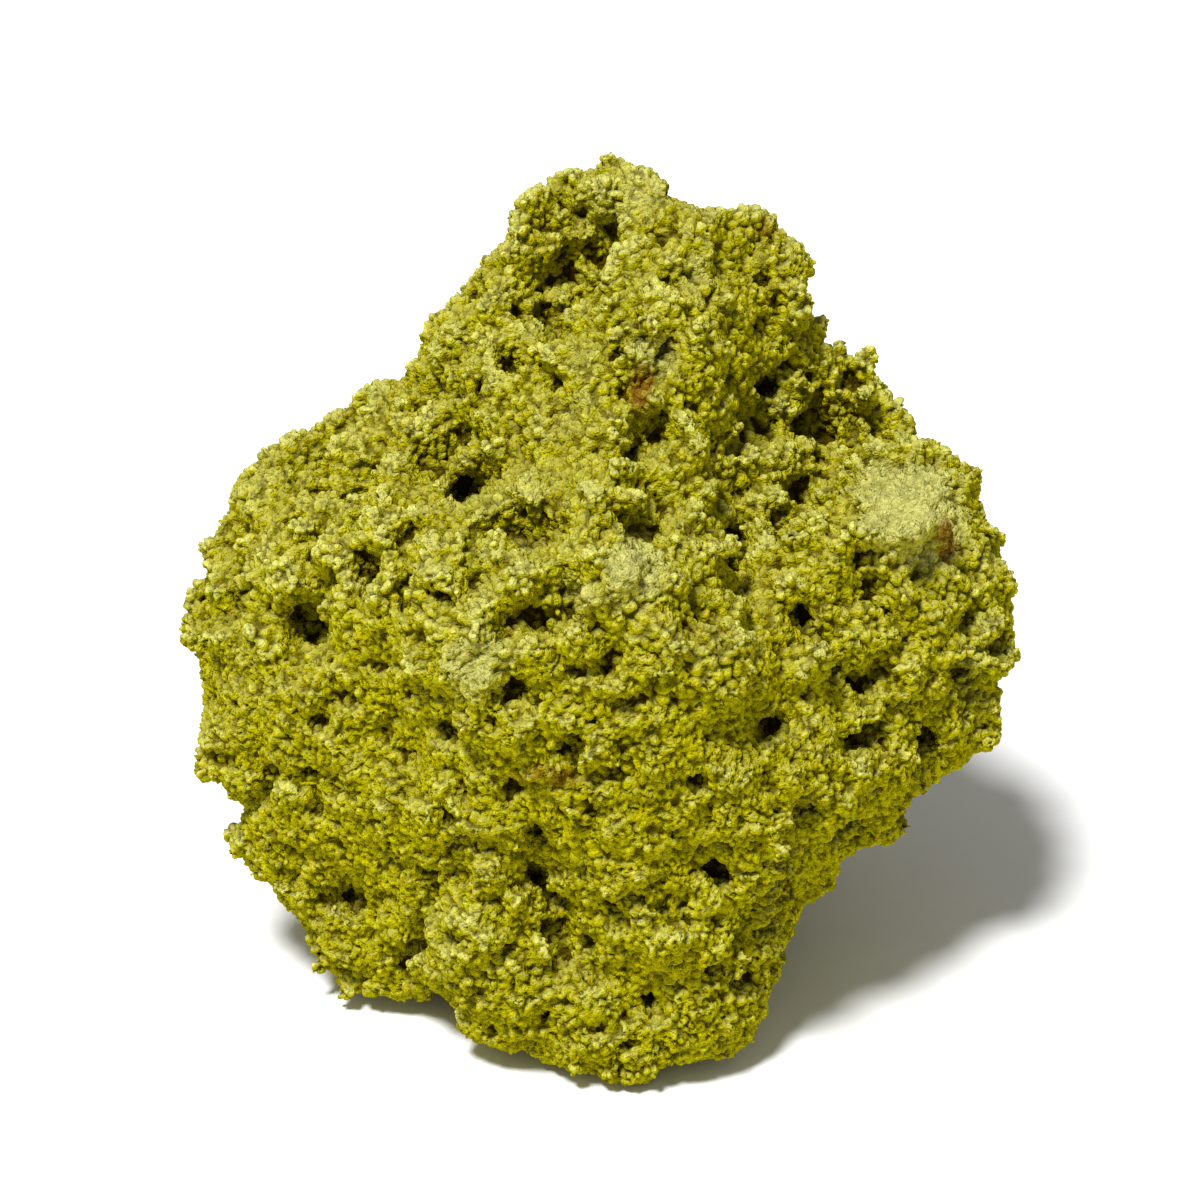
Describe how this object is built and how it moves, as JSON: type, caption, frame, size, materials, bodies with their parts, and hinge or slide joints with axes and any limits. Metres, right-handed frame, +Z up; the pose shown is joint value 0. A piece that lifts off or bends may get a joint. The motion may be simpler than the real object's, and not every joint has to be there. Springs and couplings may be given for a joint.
{
  "type": "nontronite specimen",
  "caption": "Knobbly lump of yellow-green clay mineral with a pointed crown and an undercut corner, resting on its worn flat underside.",
  "frame": {"origin": "on the worn flat patch under the stone, straight below the heart of the lump", "axes": "+Z up from the surface it rests on, broad side towards -Y, +X to the right as the broad side is seen"},
  "size_m": [0.085, 0.0676, 0.0804],
  "materials": {
    "clay_mineral": "dull, grainy, earthy yellow-green with pale dusty patches and dark pits"
  },
  "bodies": {
    "root": {"specimen": "clay_mineral"}
  },
  "joints": []
}
